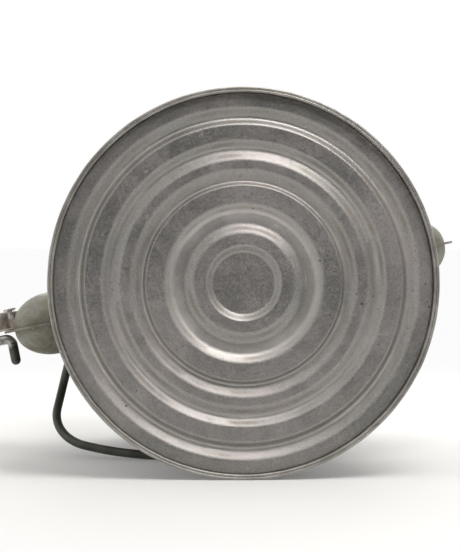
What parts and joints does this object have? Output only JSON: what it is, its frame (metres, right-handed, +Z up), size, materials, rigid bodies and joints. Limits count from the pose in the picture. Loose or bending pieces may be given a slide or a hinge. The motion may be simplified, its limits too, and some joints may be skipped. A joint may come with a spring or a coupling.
{
  "type": "milk pail",
  "caption": "Lidded milk pail in worn tinned steel with a ringed bottom, foot hoop, two hollow ears, a wire bail, a hinged lid and a side lid latch.",
  "frame": {"origin": "centre of the foot hoop on the resting plane", "axes": "+Z up along the pail's axis, +X from the latch towards the lid's hinge, +Y the side where the bail hangs"},
  "size_m": [0.3519, 0.23, 0.282],
  "materials": {
    "tinned_steel": "dull worn tin, satin",
    "worn_hoop": "worn tinned hoop",
    "tarnished_tin": "tarnished grey-green tin",
    "dark_wire": "dark drawn steel wire, oiled",
    "rivet_steel": "worn rivet heads",
    "latch_steel": "pale worn steel with rust-brown edges",
    "hook_steel": "dark steel rod"
  },
  "bodies": {
    "pail": {"bail_bracket_left": "tarnished_tin", "bail_bracket_right": "tarnished_tin", "body_drum": "tinned_steel", "bottom_pan": "tinned_steel", "bracket_rivets_left": "rivet_steel", "bracket_rivets_right": "rivet_steel", "ear_plate_left": "tarnished_tin", "ear_plate_right": "tarnished_tin", "ear_rivets_left": "rivet_steel", "ear_rivets_right": "rivet_steel", "ear_shell_left_back": "tarnished_tin", "ear_shell_left_front": "tarnished_tin", "ear_shell_right_back": "tarnished_tin", "ear_shell_right_front": "tarnished_tin", "ear_web_left": "tarnished_tin", "ear_web_right": "tarnished_tin", "foot_hoop": "worn_hoop", "hinge_bracket": "tarnished_tin", "hinge_pin": "dark_wire", "hinge_rivets": "rivet_steel", "latch_rivet": "rivet_steel", "mouth_curl": "tinned_steel", "mouth_wire": "dark_wire", "side_seam": "tinned_steel"},
    "bail": {"bail_wire": "dark_wire"},
    "lid": {"lid_pan": "tinned_steel", "lid_rim": "tinned_steel", "lid_collar": "tinned_steel", "lid_handle": "tarnished_tin", "handle_rivets": "rivet_steel", "hinge_leaf": "tarnished_tin", "latch_keeper": "latch_steel"},
    "lever": {"latch_lever": "latch_steel", "hook_rivet": "rivet_steel"},
    "hook": {"latch_hook": "hook_steel"}
  },
  "joints": [
    {"name": "bail_swing", "type": "hinge", "parent": "pail", "child": "bail", "pos_m": [0, 0, 0.19], "axis": [1, 0, 0], "range_deg": [0, 268]},
    {"name": "lid_hinge", "type": "hinge", "parent": "pail", "child": "lid", "pos_m": [0.0986, 0, 0.2315], "axis": [0, 1, 0], "range_deg": [0, 110]},
    {"name": "latch_swing", "type": "hinge", "parent": "pail", "child": "lever", "pos_m": [-0.142, 0, 0.158], "axis": [0, 1, 0], "range_deg": [0, 90]},
    {"name": "hook_turn", "type": "hinge", "parent": "lever", "child": "hook", "pos_m": [-0.1976, 0, 0.158], "axis": [0, -1, 0], "range_deg": [0, 127.95]}
  ]
}
